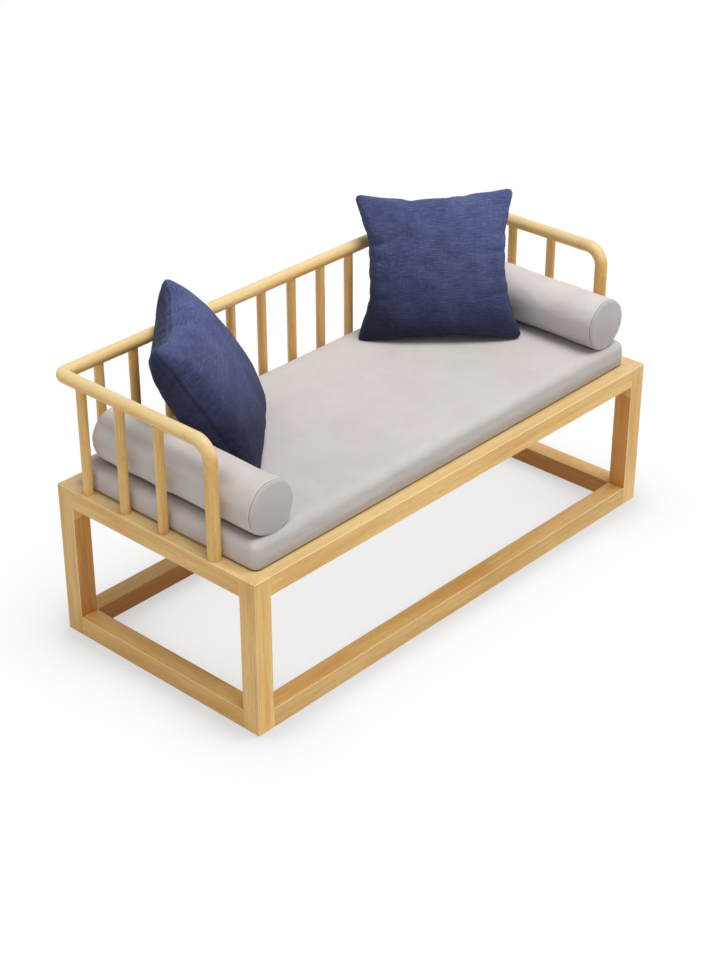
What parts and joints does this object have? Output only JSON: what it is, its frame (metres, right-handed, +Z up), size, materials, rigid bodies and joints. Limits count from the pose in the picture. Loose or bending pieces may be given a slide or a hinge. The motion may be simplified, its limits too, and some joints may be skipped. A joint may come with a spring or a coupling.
{
  "type": "luohan daybed",
  "caption": "Low hardwood daybed with a cube-jointed base, slatted deck, round three-sided spindle railing, thin mattress, bolsters and loose pillows.",
  "frame": {"origin": "on the floor, under the middle of the base", "axes": "+X along the length, towards the sitter's left; -Y towards the open front; +Z up"},
  "size_m": [1.5, 0.68, 0.8522],
  "materials": {
    "frame_wood": "satin clear lacquer on light oak or ash",
    "slat_wood": "planed, unfinished softwood",
    "dowel_wood": "turned beech, unfinished",
    "screw_steel": "zinc plated",
    "grey_fabric": "smooth matt upholstery cloth",
    "blue_linen": "slubbed matt linen weave"
  },
  "bodies": {
    "frame": {"back_elbow_left": "frame_wood", "back_elbow_right": "frame_wood", "back_rail": "frame_wood", "bottom_rail_back": "frame_wood", "bottom_rail_front": "frame_wood", "bottom_rail_left": "frame_wood", "bottom_rail_right": "frame_wood", "front_elbow_left": "frame_wood", "front_elbow_right": "frame_wood", "front_post_left": "frame_wood", "front_post_right": "frame_wood", "ledger_screws": "screw_steel", "leg_back_left": "frame_wood", "leg_back_right": "frame_wood", "leg_front_left": "frame_wood", "leg_front_right": "frame_wood", "rail_dowels": "dowel_wood", "side_rail_left": "frame_wood", "side_rail_right": "frame_wood", "slat_01": "slat_wood", "slat_02": "slat_wood", "slat_03": "slat_wood", "slat_04": "slat_wood", "slat_05": "slat_wood", "slat_06": "slat_wood", "slat_07": "slat_wood", "slat_08": "slat_wood", "slat_09": "slat_wood", "slat_10": "slat_wood", "slat_ledger_back": "slat_wood", "slat_ledger_front": "slat_wood", "slat_screws": "screw_steel", "spindle_back_01": "frame_wood", "spindle_back_02": "frame_wood", "spindle_back_03": "frame_wood", "spindle_back_04": "frame_wood", "spindle_back_05": "frame_wood", "spindle_back_06": "frame_wood", "spindle_back_07": "frame_wood", "spindle_back_08": "frame_wood", "spindle_back_09": "frame_wood", "spindle_back_10": "frame_wood", "spindle_back_11": "frame_wood", "spindle_back_12": "frame_wood", "spindle_left_1": "frame_wood", "spindle_left_2": "frame_wood", "spindle_left_3": "frame_wood", "spindle_right_1": "frame_wood", "spindle_right_2": "frame_wood", "spindle_right_3": "frame_wood", "top_rail_back": "frame_wood", "top_rail_front": "frame_wood", "top_rail_left": "frame_wood", "top_rail_right": "frame_wood"},
    "seat_cushion": {"seat_cushion": "grey_fabric"},
    "bolster_left": {"bolster_left": "grey_fabric"},
    "bolster_right": {"bolster_right": "grey_fabric"},
    "pillow_left": {"pillow_left": "blue_linen"},
    "pillow_right": {"pillow_right": "blue_linen"}
  },
  "joints": [
    {"name": "seat_cushion_lift", "type": "slide", "parent": "frame", "child": "seat_cushion", "axis": [0, 0, 1], "range_m": [0, 0.35]},
    {"name": "bolster_left_lift", "type": "slide", "parent": "seat_cushion", "child": "bolster_left", "axis": [0, 0, 1], "range_m": [0, 0.3]},
    {"name": "bolster_right_lift", "type": "slide", "parent": "seat_cushion", "child": "bolster_right", "axis": [0, 0, 1], "range_m": [0, 0.3]},
    {"name": "pillow_left_lift", "type": "slide", "parent": "bolster_left", "child": "pillow_left", "axis": [0, 0, 1], "range_m": [0, 0.3]},
    {"name": "pillow_right_lift", "type": "slide", "parent": "bolster_right", "child": "pillow_right", "axis": [0, 0, 1], "range_m": [0, 0.3]}
  ]
}
